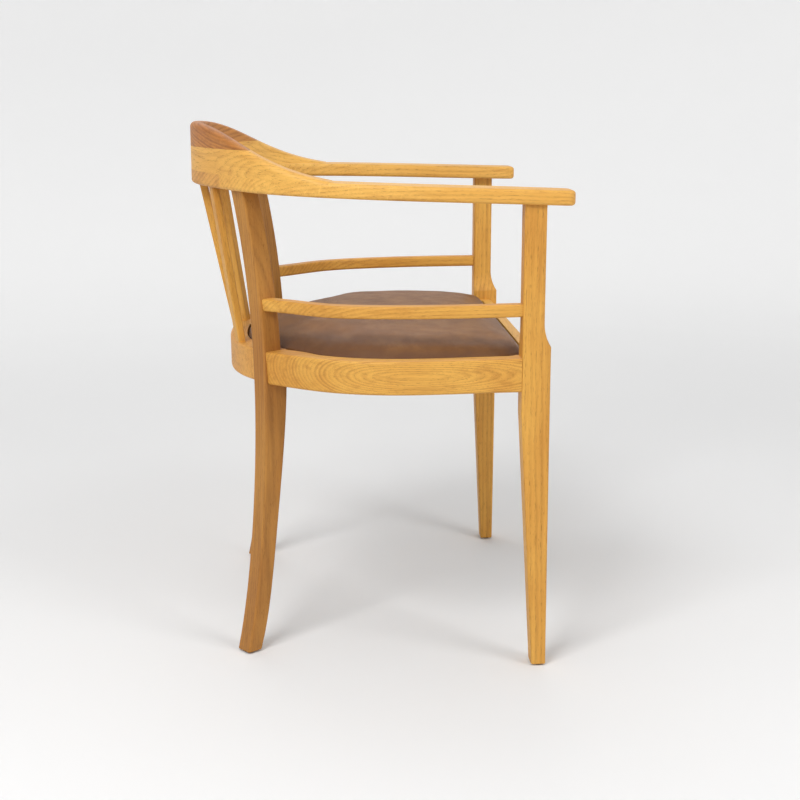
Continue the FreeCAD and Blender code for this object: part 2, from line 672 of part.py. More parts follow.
def slat(label, half, foot_inset, top_inset, turn):
    foot = at(half, size("rear_rail_back") - foot_inset, SEAT_TOP)
    head = at(half, bow_rear - top_inset, size("bow_underside") + size("bow_rise"))
    span = head - foot
    bar = document.addObject("Part::Box", label + "_blank")
    bar.setExpression("Length", "sizes.slat_width")
    bar.setExpression("Width", "sizes.slat_thickness")
    bar.setExpression("Height", "%r + 2 * sizes.slat_tenon + sizes.slat_trim" % span.Length)
    lean = Rotation(UP, span)
    spin = lean.multiply(Rotation(UP, turn))
    centre = Vector(size("slat_width") / 2, size("slat_thickness") / 2, size("slat_tenon"))
    bar.Placement = Placement(foot - spin.multVec(centre), spin)
    document.recompute()
    return rounded(bar.Shape, size("slat_round"), lambda edge: edge.Length > size("slat_half"))


outer_slat = slat("back_slat_left", size("slat_half"), size("slat_foot_inset"), size("slat_top_inset"),
                  -size("slat_turn"))
middle_slat = slat("back_slat_centre", 0, size("middle_foot_inset"), size("middle_top_inset"), 0)
mortise_top = slope_block(0, size("bow_underside") + size("slat_tenon"), size("bow_rise"), FAR)
slats = {"left": outer_slat.cut(mortise_top), "right": mirrored(outer_slat).cut(mortise_top),
         "centre": middle_slat.cut(mortise_top)}

# Joints.

rods = {"front_rail_dowels": [], "side_rail_dowels": [], "rear_rail_dowels": [],
        "arm_rail_dowels": [], "leg_dowels": []}


def joint(label, point, direction, diameter, length, tilt):
    for name, side in ends.items():
        middle = both(point, side)
        axis = both(direction, side)
        pin = rod("%s_%s_%d" % (label, name, len(rods[label])), middle, axis, diameter, length)
        if tilt:
            pin.Placement = TILT.multiply(pin.Placement)
        rods[label].append(pin)


seat_corner = rear_corner(SEAT_TOP - rail_height / 2, size("rear_seat_back"))
for drop in (size("upper_dowel_drop"), size("lower_dowel_drop")):
    level = SEAT_TOP - drop
    joint("front_rail_dowels", at(front_half, size("front_width") / 3, level), SIDEWAYS,
          "dowel_diameter", "dowel_length", True)
    joint("side_rail_dowels", at(size("side_dowel_half"), depth, level),
          Vector(0, 1, 0), "dowel_diameter", "dowel_length", True)
    leg_corner = Vector(seat_corner.x, seat_corner.y, level)
    outer_joint = leg_corner + LEG_IN * size("side_dowel_inset")
    joint("side_rail_dowels", outer_joint, LEG_OUT, "dowel_diameter", "dowel_length", True)
    inner_joint = leg_corner + LEG_IN * size("rear_dowel_inset") - LEG_OUT * thick
    joint("rear_rail_dowels", inner_joint, LEG_OUT, "rear_dowel_diameter", "rear_dowel_length", True)
arm_rail_level = size("arm_rail_underside") + size("arm_rail_height") / 2
joint("arm_rail_dowels", at(size("arm_rail_front_half") - size("arm_rail_width") / 2, depth, arm_rail_level),
      Vector(0, 1, 0), "rear_dowel_diameter", "rear_dowel_length", True)
upper_corner = rear_corner(arm_rail_level, size("arm_dowel_back"))
joint("arm_rail_dowels", upper_corner + LEG_IN * size("arm_dowel_inset"), LEG_OUT,
      "rear_dowel_diameter", "rear_dowel_length", True)
leg_half = (size("front_leg_inner") + size("front_leg_outer")) / 2
bite = size("leg_dowel_bite") - size("leg_dowel_length") / 2
joint("leg_dowels", at(leg_half, depth / 2, size("bow_underside") + bite), UP,
      "leg_dowel_diameter", "leg_dowel_length", False)
rear_top = rear_corner(leg_top, size("rear_top_back")) - LEG_OUT * (thick / 2) + LEG_IN * (thick / 2)
rear_level = size("bow_underside") + math.tan(math.radians(size("bow_rise"))) * (rear_top.y + MIDDLE)
joint("leg_dowels", Vector(rear_top.x, rear_top.y, rear_level + bite), UP,
      "leg_dowel_diameter", "leg_dowel_length", False)
groups = {label: group(label, pins) for label, pins in rods.items()}
dowels = [whole.Shape for whole in groups.values()]

tenons = []
butt_slope = math.radians(size("butt_turn"))
across_bow = Vector(math.sin(butt_slope), math.cos(butt_slope), 0)
for name, side in ends.items():
    tenon = document.addObject("Part::Box", "bow_tenon_" + name)
    tenon.setExpression("Length", "sizes.tenon_length")
    tenon.setExpression("Width", "sizes.tenon_width")
    tenon.setExpression("Height", "sizes.tenon_thickness")
    level = size("bow_underside") + size("bow_thickness") / 2
    level += math.tan(math.radians(size("bow_rise"))) * size("butt_back")
    centre = place("butt", level) - across_bow * (size("bow_width") / 2)
    half_box = Vector(size("tenon_length") / 2, size("tenon_width") / 2, size("tenon_thickness") / 2)
    turn = Rotation(UP, -side * size("butt_turn"))
    tenon.Placement = Placement(both(centre, side) - turn.multVec(half_box), turn)
    tenons.append(tenon)
groups["bow_tenons"] = group("bow_tenons", tenons)
tenon_shape = groups["bow_tenons"].Shape


def screw(name, head, direction, length):
    """A shaft with a countersunk head whose top lies at the given point."""
    shaft = document.addObject("Part::Cylinder", name + "_shaft")
    shaft.setExpression("Radius", "sizes.screw_diameter / 2")
    shaft.setExpression("Height", "sizes." + length)
    cone = document.addObject("Part::Cone", name + "_head")
    cone.setExpression("Radius1", "sizes.screw_head / 2")
    cone.setExpression("Radius2", "sizes.screw_diameter / 2")
    cone.setExpression("Height", "sizes.screw_head_height")
    whole = document.addObject("Part::Fuse", name)
    whole.Base = shaft
    whole.Tool = cone
    whole.Placement = TILT.multiply(Placement(head, Rotation(UP, direction)))
    return whole


# Corner blocks: boxes fitted to the legs and rails around them.

block_top = seat_level - size("block_drop")
block_bottom = block_top - size("block_height")
diagonal = Vector(1, -1, 0).normalize()
front_corner = at(front_half, size("front_width"), block_bottom)
rear_middle = seat_corner + LEG_IN * size("rear_seat_width") - LEG_OUT * (thick / 2)
rear_middle.z = block_bottom
legs = {"front": front_leg_blank, "rear": rear_leg_blank}
blocks = {}
block_screws = []
seat_screws = []
for end, corner, outward, bite in (("front", front_corner, diagonal, 0),
                                   ("rear", rear_middle, LEG_IN * -1, size("block_bite"))):
    deep = size(end + "_block_depth")
    wide = size(end + "_block_width")
    for name, side in ends.items():
        label = "corner_block_%s_%s" % (end, name)
        blank = document.addObject("Part::Box", label + "_blank")
        blank.Length = deep + bite
        blank.setExpression("Width", "sizes.%s_block_width" % end)
        blank.setExpression("Height", "sizes.block_height")
        facing = both(outward, side)
        turn = Rotation(SIDEWAYS, facing)
        inner_middle = both(corner, side) - facing * deep
        along = turn.multVec(Vector(0, 1, 0))
        blank.Placement = TILT.multiply(Placement(inner_middle - along * (wide / 2), turn))
        middle_height = UP * (size("block_height") / 2)
        shift = along * size(end + "_screw_half")
        for number, offset in enumerate((shift, shift * -1)):
            block_screws.append(screw("%s_screw_%d" % (label, number),
                                      inner_middle + offset + middle_height, facing,
                                      "block_screw_length"))
        seat_screws.append(screw(label + "_seat_screw", inner_middle + facing * size("seat_screw_inset"),
                                 UP, "seat_screw_length"))
        document.recompute()
        wood = [side_rail, rear_rail, front_rail, legs[end]]
        shape = blank.Shape
        for tool in wood:
            shape = shape.cut(tool if side > 0 else mirrored(tool))
        blocks[label] = shape
groups["block_screws"] = group("block_screws", block_screws)
groups["seat_screws"] = group("seat_screws", seat_screws)
block_screw_shape = groups["block_screws"].Shape
seat_screw_shape = groups["seat_screws"].Shape

# Glides.

glides = {}
foot_places = {"front": at((size("front_foot_inner") + size("front_foot_outer")) / 2,
                           (size("front_foot_back") - step) / 2),
               "rear": rear_corner(0, size("rear_foot_back")) - LEG_OUT * (thick / 2)
               + LEG_IN * (size("rear_foot_width") / 2)}
for end, point in foot_places.items():
    for name, side in ends.items():
        label = "glide_%s_%s" % (end, name)
        disc = document.addObject("Part::Cylinder", label + "_disc")
        disc.setExpression("Radius", "sizes.glide_diameter / 2")
        disc.setExpression("Height", "sizes.glide_thickness")
        nail = document.addObject("Part::Cylinder", label + "_nail")
        nail.setExpression("Radius", "sizes.nail_diameter / 2")
        nail.setExpression("Height", "sizes.nail_length")
        whole = document.addObject("Part::Fuse", label)
        whole.Label = label
        whole.Base = disc
        whole.Tool = nail
        whole.Placement = Placement(both(point, side), Rotation())
        glides[label] = whole
document.recompute()
glide_shapes = [whole.Shape for whole in glides.values()]

# Bores and mortises, then the nodes.

slat_shapes = list(slats.values())
front_leg = cut(front_leg, above_underside, *(dowels + glide_shapes))
rear_leg = cut(rear_leg, above_underside, *(dowels + glide_shapes))
left_pieces = {"front_leg_left": front_leg, "rear_leg_left": rear_leg}
left_pieces["side_seat_rail_left"] = cut(side_rail, block_screw_shape, *dowels)
left_pieces["arm_rail_left"] = cut(arm_rail, *dowels)
left_pieces["arm_left"] = cut(arm_left, tenon_shape, *(dowels + slat_shapes))
left_pieces["back_slat_left"] = slats["left"]
pieces = {}
for label, shape in left_pieces.items():
    pieces[label] = shape
    pieces[label.replace("_left", "_right")] = mirrored(shape)
pieces["back_slat_centre"] = slats["centre"]
pieces["front_seat_rail"] = cut(front_rail, block_screw_shape, *dowels)
pieces["rear_seat_rail"] = cut(rear_rail, block_screw_shape, *(dowels + slat_shapes))
pieces["back_bow"] = cut(back_bow, tenon_shape, *(dowels + slat_shapes))
pieces["crest_middle"] = crest_middle
pieces["crest_top"] = crest_top
for label, shape in blocks.items():
    pieces[label] = cut(shape, block_screw_shape, seat_screw_shape)
pieces["seat_board"] = tilted(board).cut(seat_screw_shape)
pieces["seat_foam"] = tilted(foam)
pieces["seat_cover"] = tilted(cover).cut(seat_screw_shape)
pieces["seat_dust_cover"] = tilted(dust_cover).cut(seat_screw_shape)

nodes = {}
for label, shape in pieces.items():
    nodes[label] = node(label, shape)
nodes.update(groups)
nodes.update(glides)
document.recompute()

for member in document.Objects:
    if "Invalid" in member.State or "Error" in member.State:
        raise RuntimeError("%s did not recompute" % member.Name)
for label, member in nodes.items():
    shape = member.Shape
    if shape.isNull() or not shape.isValid():
        raise RuntimeError("%s has no valid shape" % label)
    if not shape.Solids:
        raise RuntimeError("%s has no solid" % label)
os.makedirs("parts", exist_ok=True)
for label, member in nodes.items():
    member.Shape.exportStep("parts/%s.step" % label)
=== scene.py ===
"""Captains chair in oiled oak with a drop-in leather seat."""

import math

import bmesh
import bpy
from mathutils import Matrix, Vector


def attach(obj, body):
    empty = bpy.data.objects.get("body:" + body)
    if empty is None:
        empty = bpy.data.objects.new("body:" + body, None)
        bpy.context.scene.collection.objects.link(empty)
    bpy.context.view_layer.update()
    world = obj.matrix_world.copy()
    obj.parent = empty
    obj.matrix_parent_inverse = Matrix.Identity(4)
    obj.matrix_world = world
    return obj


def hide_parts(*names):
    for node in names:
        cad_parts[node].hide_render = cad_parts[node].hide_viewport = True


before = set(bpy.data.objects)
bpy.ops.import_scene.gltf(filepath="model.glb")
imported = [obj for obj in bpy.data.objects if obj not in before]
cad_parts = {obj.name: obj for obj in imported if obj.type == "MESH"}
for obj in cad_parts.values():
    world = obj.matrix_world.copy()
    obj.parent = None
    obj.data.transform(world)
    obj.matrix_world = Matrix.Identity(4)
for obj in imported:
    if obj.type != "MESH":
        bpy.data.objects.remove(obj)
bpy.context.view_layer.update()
scene = bpy.context.scene

UPRIGHT = (0, 0, 1)
DEPTHWAYS = (0, 1, 0)
CROSSWAYS = (1, 0, 0)

# The seat rails: height of their tops at the front, where that is, and how they fall to the rear.
RAIL_TOP = 0.4522
LEG_FRONT = -0.232
SEAT_SLOPE = math.tan(math.radians(0.67))


class Socket:
    """A shader value that takes part in plain arithmetic."""

    def __init__(self, finish, output):
        self.finish = finish
        self.output = output

    def math(self, operation, first, second=0.0):
        return self.finish.node("ShaderNodeMath", {"operation": operation}, {0: first, 1: second})

    def __add__(self, other):
        return self.math("ADD", self, other)

    def __sub__(self, other):
        return self.math("SUBTRACT", self, other)

    def __rsub__(self, other):
        return self.math("SUBTRACT", other, self)

    def __mul__(self, other):
        return self.math("MULTIPLY", self, other)

    def __pow__(self, other):
        return self.math("POWER", self, other)

    __radd__ = __add__
    __rmul__ = __mul__

    def fraction(self):
        return self.math("FRACT", self)

    def turn_from(self, other):
        """The angle whose sine is to its cosine as this value to the other."""
        return self.math("ARCTAN2", self, other)

    def clipped(self, low, high):
        """0 below low, 1 above high, and smooth between."""
        settings = {"interpolation_type": "SMOOTHSTEP"}
        values = {"Value": self, "From Min": low, "From Max": high}
        return self.finish.node("ShaderNodeMapRange", settings, values)


class Finish:
    """One material, written as expressions."""

    def __init__(self, name):
        self.material = bpy.data.materials.new(name)
        self.material.use_nodes = True
        self.nodes = self.material.node_tree.nodes
        self.links = self.material.node_tree.links
        self.shader = self.nodes["Principled BSDF"]

    def node(self, kind, settings, values, output=0):
        made = self.nodes.new(kind)
        for key, value in settings.items():
            setattr(made, key, value)
        for key, value in values.items():
            self.feed(made.inputs[key], value)
        return Socket(self, made.outputs[output])

    def feed(self, socket, value):
        if isinstance(value, Socket):
            self.links.new(value.output, socket)
        else:
            socket.default_value = value

    def place(self):
        return self.node("ShaderNodeTexCoord", {}, {}, "Object")

    def along(self, place, axis):
        """How far a place lies along an axis."""
        settings = {"operation": "DOT_PRODUCT"}
        return self.node("ShaderNodeVectorMath", settings, {0: place, 1: axis}, "Value")

    def vector(self, x, y, z):
        return self.node("ShaderNodeCombineXYZ", {}, {"X": x, "Y": y, "Z": z})

    def noise(self, place, scale, detail, roughness):
        values = {"Vector": place, "Scale": scale, "Detail": detail, "Roughness": roughness}
        return self.node("ShaderNodeTexNoise", {}, values, "Fac")

    def grained(self, spot, across, lengthways, detail, roughness):
        """Noise drawn out along the grain; spot is two distances across the wood and one along it."""
        x, y, z = spot
        stretched = self.vector(x * across, y * across, z * lengthways)
        return self.noise(stretched, 1.0, detail, roughness)

    def creases(self, place, scale, width):
        """Cells that rise from 0 at the lines of a net to 1 at a width from them."""
        settings = {"feature": "DISTANCE_TO_EDGE"}
        values = {"Vector": place, "Scale": scale}
        return self.node("ShaderNodeTexVoronoi", settings, values, "Distance").clipped(0.0, width)

    def mixed(self, factor, first, second):
        values = {"Factor": factor, 6: first, 7: second}
        return self.node("ShaderNodeMix", {"data_type": "RGBA"}, values, 2)

    def bump(self, height, distance, strength):
        values = {"Height": height, "Distance": distance, "Strength": strength}
        return self.node("ShaderNodeBump", {}, values)

    def surface(self, **values):
        for name, value in values.items():
            self.feed(self.shader.inputs[name.replace("_", " ")], value)
        return self.material


def tint(red, green, blue):
    """A colour as it looks on a screen, for a shader."""
    return tuple(((part / 255 + 0.055) / 1.055) ** 2.4 for part in (red, green, blue)) + (1.0,)


BLACK = (0, 0, 0, 1)
WHITE = (1, 1, 1, 1)

# Colours of the boards, of their pores and of the leather; the leather's darkest tone is painted shade and
# dirt where it meets the rails.
HONEY = {"light": tint(228, 174, 80), "main": tint(211, 151, 62), "dark": tint(160, 96, 30)}
WHEAT = {"light": tint(237, 186, 94), "main": tint(224, 167, 76), "dark": tint(178, 114, 40)}
AMBER = {"light": tint(202, 136, 60), "main": tint(178, 110, 42), "dark": tint(118, 62, 20)}
RUSSET = {"light": tint(224, 166, 82), "main": tint(209, 147, 64), "dark": tint(152, 94, 34)}
TOAST = {"light": tint(188, 132, 58), "main": tint(169, 111, 44), "dark": tint(118, 70, 24)}
PORE = tint(118, 72, 28)
HIDE = {"main": tint(128, 82, 34), "pale": tint(148, 100, 46), "worn": tint(166, 118, 58),
        "mottle": tint(108, 66, 26), "speck": tint(92, 54, 24), "crease": tint(92, 54, 26),
        "rim": tint(70, 38, 16)}

# Patterns in oak: scale across the grain, scale along it, detail, roughness. Years are counted in rings.
WANDER = (7, 1.8, 2.0, 0.5)
RIPPLE = (45, 11, 2.0, 0.6)
CLOUDS = (11, 4, 3.0, 0.55)
STREAKS = (130, 5, 4.0, 0.62)
FIBRES = (1000, 40, 3.0, 0.65)
PORES = (1250, 95, 2.0, 0.55)
RAYS = (70, 330, 2.0, 0.6)
YEARS = (0.7, 2.5, 1.0, 0.5)

# The part of each pattern's values over which it comes in.
CLOUDED = (0.28, 0.72)
STREAKED = (0.42, 0.78)
FIBROUS = (0.45, 0.8)
SHINING = (0.55, 0.8)
FLECKED = (0.58, 0.72)
FLECK_CLOUDS = (0.45, 0.6)
PORED = (0.60, 0.76)
CHANGING = (0.3, 0.72)

# A year's growth runs from 0 to 1: vessels fade out over its start, dense wood comes in over its end.
EARLY_WOOD = (0.04, 0.42)
LATE_WOOD = (0.5, 0.98)
VESSEL_PORES = 0.11

# How far the rings stray from true ovals, slowly and finely.
NOISE_MIDDLE = 0.5
WANDER_REACH = 0.026
RIPPLE_REACH = 0.0032

# How strongly each pattern colours the oak. Years differ: the faintest one, and how much more the others get.
LATE_TONE = 0.28
VESSEL_TONE = 0.30
FAINT_YEAR = 0.15
YEAR_SPAN = 0.75
STREAK_TONE = 0.44
FIBRE_TONE = 0.30
FIBRE_SHINE = 0.22
PORE_TONE = 0.50

# The oak's sheen, how much fibres and pores dull it, and their relief.
OAK_ROUGHNESS = 0.44
OAK_GLOSS = 0.38
FIBRE_DULLS = 0.12
PORE_DULLS = 0.15
OAK_RELIEF = 0.45
PORE_DEPTH = 0.00018
PORE_RELIEF = 0.8
FIBRE_RELIEF = 0.25

# Boards differ by a shift along the grain. Bent wood takes its length at this radius. Grain is upright
# when its rise is more than steep.
SEED_SHIFT = 0.37
BEND_RADIUS = 0.27
STEEP = 0.7


def oak(name, grain, heart, colours, seed, ring, bend=(0.0, 0.0), figure=1.0, fleck=0.0, bold=1.0,
        around=None, flat=1.0):
    """Ring-porous wood with its length along the grain, cut beside the tree's middle line at heart.

    Ring is a year's width, and figure says how far the rings stray. Bend curves the middle line: an
    amount, and the place along it that stays put. In a flat tree the rings are ovals, so that a curved
    cut shows pointed arches. Wood bent around a point has its grain along the curve, and its heart is
    then a radius and a height."""
    finish = Finish(name)
    place = finish.place()
    if around is None:
        length = Vector(grain).normalized()
        level = Vector(CROSSWAYS) if abs(length.z) > STEEP else Vector(UPRIGHT)
        side = length.cross(level).normalized()
        depth = length.cross(side)
        run = finish.along(place, length)
        x = finish.along(place, side) - side.dot(Vector(heart))
        y = finish.along(place, depth) - depth.dot(Vector(heart))
    else:
        radius, height = heart
        east = finish.along(place, CROSSWAYS)
        north = finish.along(place, DEPTHWAYS) - around
        run = east.turn_from(north) * BEND_RADIUS
        x = (east * east + north * north) ** 0.5 - radius
        y = finish.along(place, UPRIGHT) - height
    z = run + seed * SEED_SHIFT
    amount, middle = bend
    if amount:
        x = x + (run - middle) * (run - middle) * amount
    spot = (x, y, z)

    wander = (finish.grained(spot, *WANDER) - NOISE_MIDDLE) * (WANDER_REACH * figure)
    ripple = (finish.grained(spot, *RIPPLE) - NOISE_MIDDLE) * (RIPPLE_REACH * figure)
    distance = (x * x + y * y * (flat * flat)) ** 0.5 + wander + ripple
    phase = (distance * (1 / ring)).fraction()
    vessel = 1 - phase.clipped(*EARLY_WOOD)
    late = phase.clipped(*LATE_WOOD)
    across, lengthways, detail, coarseness = YEARS
    yearly = finish.vector(distance * (across / ring), seed, z * lengthways)
    year = finish.noise(yearly, 1.0, detail, coarseness).clipped(*CHANGING)
    cloud = finish.grained(spot, *CLOUDS)
    streak = finish.grained(spot, *STREAKS)
    fibre = finish.grained(spot, *FIBRES)
    pore = (finish.grained(spot, *PORES) + vessel * VESSEL_PORES).clipped(*PORED)

    light, main, dark = colours["light"], colours["main"], colours["dark"]
    rings = (late * LATE_TONE + vessel * VESSEL_TONE) * (year * YEAR_SPAN + FAINT_YEAR) * bold
    colour = finish.mixed(cloud.clipped(*CLOUDED), main, light)
    colour = finish.mixed(streak.clipped(*STREAKED) * STREAK_TONE, colour, dark)
    colour = finish.mixed(rings, colour, dark)
    colour = finish.mixed(fibre.clipped(*FIBROUS) * FIBRE_TONE, colour, dark)
    colour = finish.mixed((1 - fibre).clipped(*SHINING) * FIBRE_SHINE, colour, light)
    if fleck:
        rays = finish.grained(spot, *RAYS).clipped(*FLECKED) * cloud.clipped(*FLECK_CLOUDS)
        colour = finish.mixed(rays * fleck, colour, light)
    colour = finish.mixed(pore * PORE_TONE, colour, PORE)
    normal = finish.bump(1 - pore * PORE_RELIEF - fibre * FIBRE_RELIEF, PORE_DEPTH, OAK_RELIEF)
    roughness = OAK_ROUGHNESS + fibre * FIBRE_DULLS + pore * PORE_DULLS
    return finish.surface(Base_Color=colour, Roughness=roughness, Normal=normal, Specular_IOR_Level=OAK_GLOSS)


# Patterns of the other finishes: streaks as for oak, and a speckle of scale, detail and roughness.
PLAIN_STREAKS = (300, 12, 3.0, 0.6)
PLAIN_STREAKED = (0.3, 0.75)
PLAIN_ROUGHNESS = 0.6
STREAK_DULLS = 0.1
SPECKLE = (400.0, 3.0, 0.6)
SPECKLE_DULLS = 0.15


def plain_wood(name, light, dark):
    """Pale wood with its grain across the chair, for pieces that stay out of sight."""
    finish = Finish(name)
    place = finish.place()
    length = Vector(CROSSWAYS)
    side = length.orthogonal().normalized()
    spot = [finish.along(place, axis) for axis in (side, length.cross(side), length)]
    streak = finish.grained(spot, *PLAIN_STREAKS)
    colour = finish.mixed(streak.clipped(*PLAIN_STREAKED), light, dark)
    return finish.surface(Base_Color=colour, Roughness=PLAIN_ROUGHNESS + streak * STREAK_DULLS)


# Patterns in leather: scale, detail, roughness. Creases: the scale of a net, and how wide its lines are.
HIDE_CLOUDS = (6.0, 3.0, 0.55)
HIDE_MOTTLE = (38.0, 4.0, 0.62)
HIDE_SPECKS = (330.0, 3.0, 0.6)
COARSE_CREASES = (560.0, 0.22)
FINE_CREASES = (1400.0, 0.2)
COARSE_SHARE = 0.65
FINE_SHARE = 0.35

# The part of each pattern's values over which it comes in, and how strongly it colours the leather.
HIDE_CLOUDED = (0.3, 0.7)
MOTTLED = (0.4, 0.72)
WORN = (0.5, 0.7)
SPECKED = (0.5, 0.75)
MOTTLE_TONE = 0.55
WORN_TONE = 0.3
SPECK_TONE = 0.3
CREASE_TONE = 0.3

# Painted shade and dirt: the leather darkens toward the rails between these heights above them.
RAIL_SHADE_AND_DIRT_HEIGHTS = (0.001, 0.018)
RAIL_SHADE_AND_DIRT_TONE = 0.6

LEATHER_ROUGHNESS = 0.40
LEATHER_GLOSS = 0.42
MOTTLE_DULLS = 0.14
LEATHER_RELIEF = 0.6
MOTTLE_RELIEF = 0.35
CREASE_DEPTH = 0.0003


def leather():
    """Brown hide: clouded, mottled and specked, with fine creases, and darker toward the rails with painted
    shade and dirt.
    """
    finish = Finish("seat_leather")
    place = finish.place()
    cloud = finish.noise(place, *HIDE_CLOUDS)
    mottle = finish.noise(place, *HIDE_MOTTLE)
    speck = finish.noise(place, *HIDE_SPECKS)
    coarse = finish.creases(place, *COARSE_CREASES)
    fine = finish.creases(place, *FINE_CREASES)
    grain = coarse * COARSE_SHARE + fine * FINE_SHARE
    # Painted shade and dirt: a mask that rises where the leather comes down to the rails.
    low, high = RAIL_SHADE_AND_DIRT_HEIGHTS
    rim = 1 - finish.along(place, UPRIGHT).clipped(RAIL_TOP + low, RAIL_TOP + high)
    colour = finish.mixed(cloud.clipped(*HIDE_CLOUDED), HIDE["main"], HIDE["pale"])
    colour = finish.mixed(mottle.clipped(*MOTTLED) * MOTTLE_TONE, colour, HIDE["mottle"])
    colour = finish.mixed((1 - mottle).clipped(*WORN) * WORN_TONE, colour, HIDE["worn"])
    colour = finish.mixed(speck.clipped(*SPECKED) * SPECK_TONE, colour, HIDE["speck"])
    colour = finish.mixed((1 - grain) * CREASE_TONE, colour, HIDE["crease"])
    # Painted shade and dirt: the leather is darkened where it meets the rails.
    colour = finish.mixed(rim * RAIL_SHADE_AND_DIRT_TONE, colour, HIDE["rim"])
    normal = finish.bump(grain + mottle * MOTTLE_RELIEF, CREASE_DEPTH, LEATHER_RELIEF)
    roughness = LEATHER_ROUGHNESS + mottle * MOTTLE_DULLS
    return finish.surface(Base_Color=colour, Roughness=roughness, Normal=normal,
                          Specular_IOR_Level=LEATHER_GLOSS)


def flat_finish(name, colour, roughness, metallic=0.0, speckle=0.1):
    """One colour with a fine speckle."""
    finish = Finish(name)
    grain = finish.noise(finish.place(), *SPECKLE)
    base = finish.mixed(grain * speckle, colour, BLACK)
    return finish.surface(Base_Color=base, Roughness=roughness + grain * SPECKLE_DULLS, Metallic=metallic)


def paint(material, *nodes):
    for node in nodes:
        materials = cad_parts[node].data.materials
        materials.clear()
        materials.append(material)


def board(node, grain, heart, colours, seed, ring, **figure):
    """Paint one piece as oak from its own part of a tree."""
    paint(oak("oak_" + node, grain, heart, colours, seed, ring, **figure), node)


# Each board: its grain, heart, colours, seed and ring, then what sets it apart.
board("front_leg_right", (0.015, 0, 1), (-0.42, -0.36, 0), HONEY, 1, 0.006)
board("front_leg_left", (-0.015, 0, 1), (0.20, -0.36, 0), HONEY, 2, 0.006)
board("rear_leg_right", (0.06, 0.02, 1), (-0.34, 0.10, 0), TOAST, 3, 0.005)
board("rear_leg_left", (-0.06, 0.02, 1), (0.34, 0.08, 0), TOAST, 4, 0.005)
board("front_seat_rail", CROSSWAYS, (0, -0.245, 0.425), WHEAT, 5, 0.0030, bend=(0.5, 0.04))
board("side_seat_rail_right", DEPTHWAYS, (-0.318, 0, 0.429), HONEY, 6, 0.0058, bend=(1.1, -0.04),
      figure=0.5, bold=1.7, flat=2.3)
board("side_seat_rail_left", DEPTHWAYS, (0.318, 0, 0.426), HONEY, 7, 0.0056, bend=(-1.0, -0.02),
      figure=0.5, bold=1.5, flat=2.2)
board("rear_seat_rail", CROSSWAYS, (0, 0.226, 0.44), RUSSET, 8, 0.0034, bend=(0.7, 0.03))
board("arm_rail_right", (0, 1, -0.01), (-0.36, 0, 0.40), HONEY, 9, 0.0045)
board("arm_rail_left", (0, 1, -0.01), (0.37, 0, 0.42), HONEY, 10, 0.0045)
board("arm_right", (0.04, 1, 0.03), (-0.38, 0, 0.50), WHEAT, 11, 0.005, fleck=0.8)
board("arm_left", (-0.04, 1, 0.03), (0.38, 0, 0.52), WHEAT, 12, 0.005, fleck=0.5)
board("back_bow", CROSSWAYS, (0, 0.10, 0.55), RUSSET, 13, 0.005, bold=1.3)
board("crest_middle", CROSSWAYS, (0.34, 0.70), WHEAT, 14, 0.0042, bend=(0.25, 0.1), figure=1.8,
      around=-0.03)
board("crest_top", (1, 0, 0.12), (0, 0.20, 0.90), AMBER, 15, 0.0052, bend=(-1.2, 0.0), figure=1.3,
      bold=2.2)
board("back_slat_right", (0, 0.14, 1), (-0.18, 0.12, 0), HONEY, 16, 0.005)
board("back_slat_centre", (0, 0.2, 1), (0.08, 0.12, 0), HONEY, 17, 0.005)
board("back_slat_left", (0, 0.14, 1), (0.18, 0.13, 0), HONEY, 18, 0.005)

paint(plain_wood("beech", tint(214, 178, 128), tint(186, 146, 96)),
      "corner_block_front_right", "corner_block_front_left", "corner_block_rear_right",
      "corner_block_rear_left", "front_rail_dowels", "side_rail_dowels", "rear_rail_dowels",
      "arm_rail_dowels", "leg_dowels", "bow_tenons")
paint(plain_wood("plywood", tint(220, 186, 138), tint(190, 150, 102)), "seat_board")
paint(flat_finish("foam", tint(226, 218, 184), roughness=0.8), "seat_foam")
paint(flat_finish("lining", tint(38, 36, 34), roughness=0.8, speckle=0.5), "seat_dust_cover")
paint(flat_finish("zinc", tint(176, 178, 180), roughness=0.35, metallic=1.0), "block_screws", "seat_screws")
paint(flat_finish("glide_plastic", tint(46, 40, 36), roughness=0.5),
      "glide_front_right", "glide_front_left", "glide_rear_right", "glide_rear_left")
hide = leather()
paint(hide, "seat_cover")


# The cushion as cloth: its mesh size, how far above the rails it is free, and the most it may swell.
VOXEL = 0.0045
FREE_ABOVE = 0.006
MOST_SWELL = 0.003
CLOTH_FRAMES = 20
CLOTH = {"quality": 6, "mass": 0.25, "tension_stiffness": 18, "compression_stiffness": 18,
         "bending_stiffness": 1.2, "use_pressure": True, "uniform_pressure_force": 4}
SMOOTHINGS = 40


def settle(piece):
    """Swap a piece's mesh for what its modifiers make of it."""
    bpy.context.view_layer.update()
    evaluated = piece.evaluated_get(bpy.context.evaluated_depsgraph_get())
    piece.data = bpy.data.meshes.new_from_object(evaluated)
    piece.modifiers.clear()


def over_rail(point):
    """Height above the tops of the seat rails, which fall to the rear."""
    return point.z - RAIL_TOP + (point.y - LEG_FRONT) * SEAT_SLOPE


def keep_largest_part(mesh):
    """Drop all but the biggest connected part of a mesh."""
    shape = bmesh.new()
    shape.from_mesh(mesh)
    parts = []
    left = set(shape.verts)
    while left:
        part = {left.pop()}
        border = list(part)
        while border:
            vert = border.pop()
            near = [edge.other_vert(vert) for edge in vert.link_edges]
            fresh = [other for other in near if other in left]
            left.difference_update(fresh)
            part.update(fresh)
            border.extend(fresh)
        parts.append(part)
    biggest = max(parts, key=len)
    bmesh.ops.delete(shape, geom=[vert for vert in shape.verts if vert not in biggest])
    shape.to_mesh(mesh)
    shape.free()


